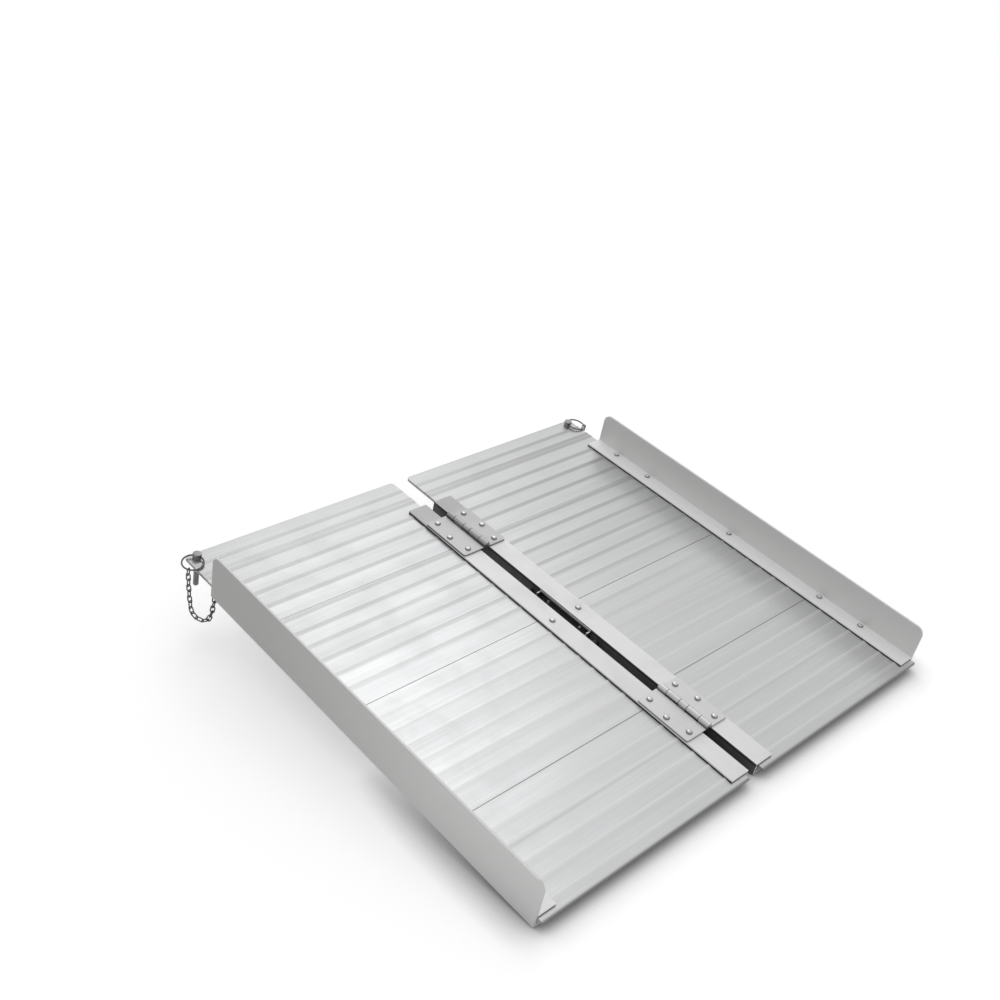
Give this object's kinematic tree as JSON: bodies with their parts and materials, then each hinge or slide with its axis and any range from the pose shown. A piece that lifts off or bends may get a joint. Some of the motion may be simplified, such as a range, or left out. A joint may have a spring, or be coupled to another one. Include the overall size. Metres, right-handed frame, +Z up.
{
  "type": "suitcase ramp",
  "caption": "Folding suitcase wheelchair ramp: ribbed aluminium deck panels hinged along the middle, with side curbs, chained locking pins and a carrying handle.",
  "frame": {"origin": "midway between the two lips, on the plane of their undersides, where the ramp rests on a step", "axes": "+X across the ramp to the right, +Y up the slope towards the lips, +Z up from the deck; the deck is level"},
  "size_m": [0.7556, 0.69, 0.132],
  "materials": {
    "extrusion": "mill-finish extruded aluminium, satin, with fine lengthwise lines",
    "hinge_metal": "bright brushed sheet",
    "rivet": "bright domed",
    "pin_steel": "zinc-plated, fluted shank",
    "chain": "nickel-plated wire, darkened",
    "grip": "moulded black, satin with a parting line"
  },
  "bodies": {
    "right_panel": {"plank_right_1": "extrusion", "plank_right_2": "extrusion", "plank_right_3": "extrusion", "plank_right_4": "extrusion", "inner_rail_right": "extrusion", "outer_rail_right": "extrusion", "inner_rivets_right": "rivet", "outer_rivets_right": "rivet", "leaf_right_near": "hinge_metal", "leaf_right_far": "hinge_metal", "hinge_pin_near": "pin_steel", "hinge_pin_far": "pin_steel", "handle_bracket": "hinge_metal", "bracket_rivets": "rivet", "chain_tab_right": "chain", "chain_right": "chain"},
    "left_panel": {"plank_left_1": "extrusion", "plank_left_2": "extrusion", "plank_left_3": "extrusion", "plank_left_4": "extrusion", "inner_rail_left": "extrusion", "outer_rail_left": "extrusion", "inner_rivets_left": "rivet", "outer_rivets_left": "rivet", "leaf_left_near": "hinge_metal", "leaf_left_far": "hinge_metal", "chain_tab_left": "chain", "chain_left": "chain"},
    "handle": {"handle_grip": "grip", "handle_rod": "pin_steel"},
    "right_pin": {"pin_right": "pin_steel", "ring_right": "pin_steel"},
    "left_pin": {"pin_left": "pin_steel", "ring_left": "pin_steel"}
  },
  "joints": [
    {"name": "fold", "type": "hinge", "parent": "right_panel", "child": "left_panel", "pos_m": [0.0034, 0, 0.013], "axis": [0, 1, 0], "range_deg": [0, 173]},
    {"name": "handle_swing", "type": "hinge", "parent": "right_panel", "child": "handle", "pos_m": [0, -0.315, -0.003], "axis": [0, 1, 0], "range_deg": [0, 187]},
    {"name": "right_pin_lift", "type": "slide", "parent": "right_panel", "child": "right_pin", "axis": [0, 0, 1], "range_m": [0, 0.018], "deforming": ["chain_right"]},
    {"name": "left_pin_lift", "type": "slide", "parent": "left_panel", "child": "left_pin", "axis": [0, 0, 1], "range_m": [0, 0.018], "deforming": ["chain_left"]}
  ],
  "couplings": [
    {"joint": "handle_swing", "follows": "fold", "ratio": 1.08}
  ]
}
